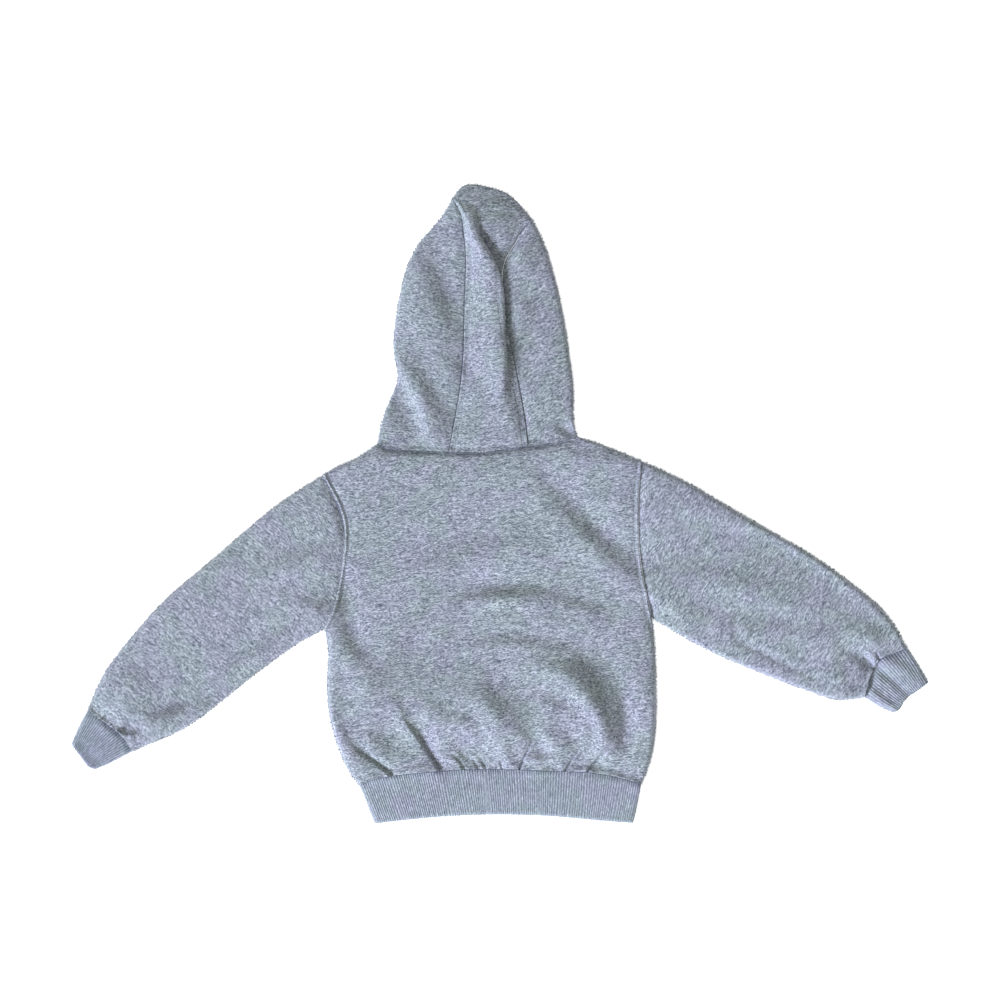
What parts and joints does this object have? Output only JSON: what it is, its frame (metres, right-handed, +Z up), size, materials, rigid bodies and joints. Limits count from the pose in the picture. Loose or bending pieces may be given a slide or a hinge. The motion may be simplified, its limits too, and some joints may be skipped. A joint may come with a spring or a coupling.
{
  "type": "toddler hoodie",
  "caption": "Pullover toddler hoodie laid flat on its front: three-panel hood, long sleeves spread out, ribbed cuffs and waistband.",
  "frame": {"origin": "centre of the laid garment's bounding box, on the surface it lies on", "axes": "+X to the right of the laid garment seen from above, along its spread sleeves, +Y towards the hood, +Z up, from its front to its back"},
  "size_m": [0.8562, 0.6389, 0.0207],
  "materials": {
    "body_back_cloth": "brushed fleece, heather grey",
    "body_front_cloth": "brushed fleece, heather grey",
    "sleeve_left_cloth": "brushed fleece, heather grey",
    "sleeve_right_cloth": "brushed fleece, heather grey",
    "cuff_left_cloth": "doubled fine rib knit, heather grey",
    "cuff_right_cloth": "doubled fine rib knit, heather grey",
    "waistband_cloth": "doubled fine rib knit, heather grey",
    "hood_left_cloth": "brushed fleece, heather grey",
    "hood_center_cloth": "brushed fleece, heather grey",
    "hood_right_cloth": "brushed fleece, heather grey"
  },
  "bodies": {
    "root": {"body_back": "body_back_cloth", "body_front": "body_front_cloth", "sleeve_left": "sleeve_left_cloth", "sleeve_right": "sleeve_right_cloth", "cuff_left": "cuff_left_cloth", "cuff_right": "cuff_right_cloth", "waistband": "waistband_cloth", "hood_left": "hood_left_cloth", "hood_center": "hood_center_cloth", "hood_right": "hood_right_cloth"}
  },
  "joints": []
}
